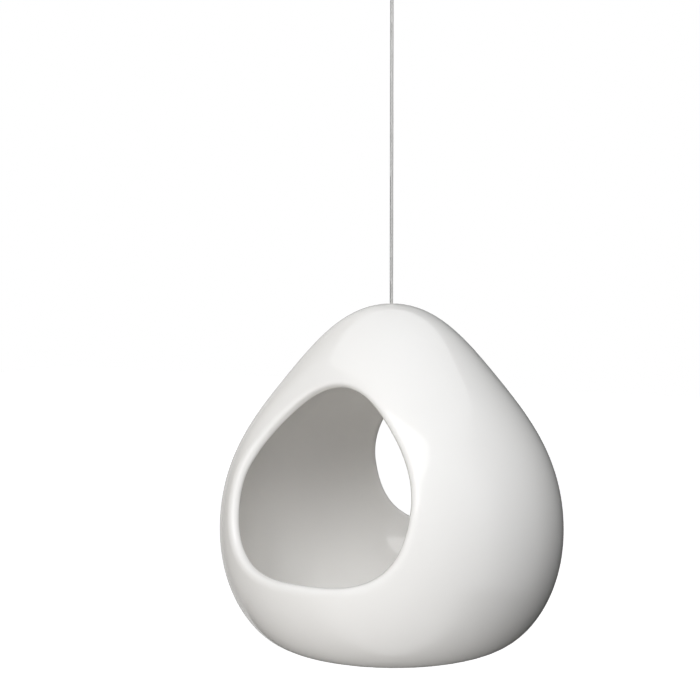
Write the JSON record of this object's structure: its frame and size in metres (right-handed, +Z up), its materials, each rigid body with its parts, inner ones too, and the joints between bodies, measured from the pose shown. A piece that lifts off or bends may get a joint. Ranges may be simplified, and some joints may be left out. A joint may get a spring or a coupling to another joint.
{
  "type": "bird feeder",
  "caption": "Egg-shaped glazed feeder with open mouths front and back over a seed bowl, hung through its crown on a steel wire that ends in a loop.",
  "frame": {"origin": "where a hook bears inside the top of the wire loop, in line with the wire", "axes": "+Z up along the wire, -Y out of the front mouth, +X to the right seen from the front"},
  "size_m": [0.15, 0.1464, 0.5245],
  "materials": {
    "white_glaze": "clear gloss over a white body",
    "wire_steel": "bright stranded wire",
    "crimp_aluminium": "plain pressed metal",
    "washer_steel": "bright zinc",
    "cushion_rubber": "matt moulded"
  },
  "bodies": {
    "hanger": {"hanger_loop": "wire_steel", "loop_ferrule": "crimp_aluminium", "hanger_wire": "wire_steel"},
    "stop": {"wire_tail": "wire_steel", "stop_ferrule": "crimp_aluminium", "backing_washer": "washer_steel", "cushion_washer": "cushion_rubber"},
    "shell": {"shell": "white_glaze"}
  },
  "joints": [
    {"name": "wire_swing", "type": "hinge", "parent": "hanger", "child": "stop", "pos_m": [0, 0, -0.3765], "axis": [1, 0, 0], "range_deg": [-30, 30]},
    {"name": "shell_swivel", "type": "hinge", "parent": "stop", "child": "shell", "pos_m": [0, 0, -0.3765], "axis": [0, 0, 1], "continuous": true}
  ]
}
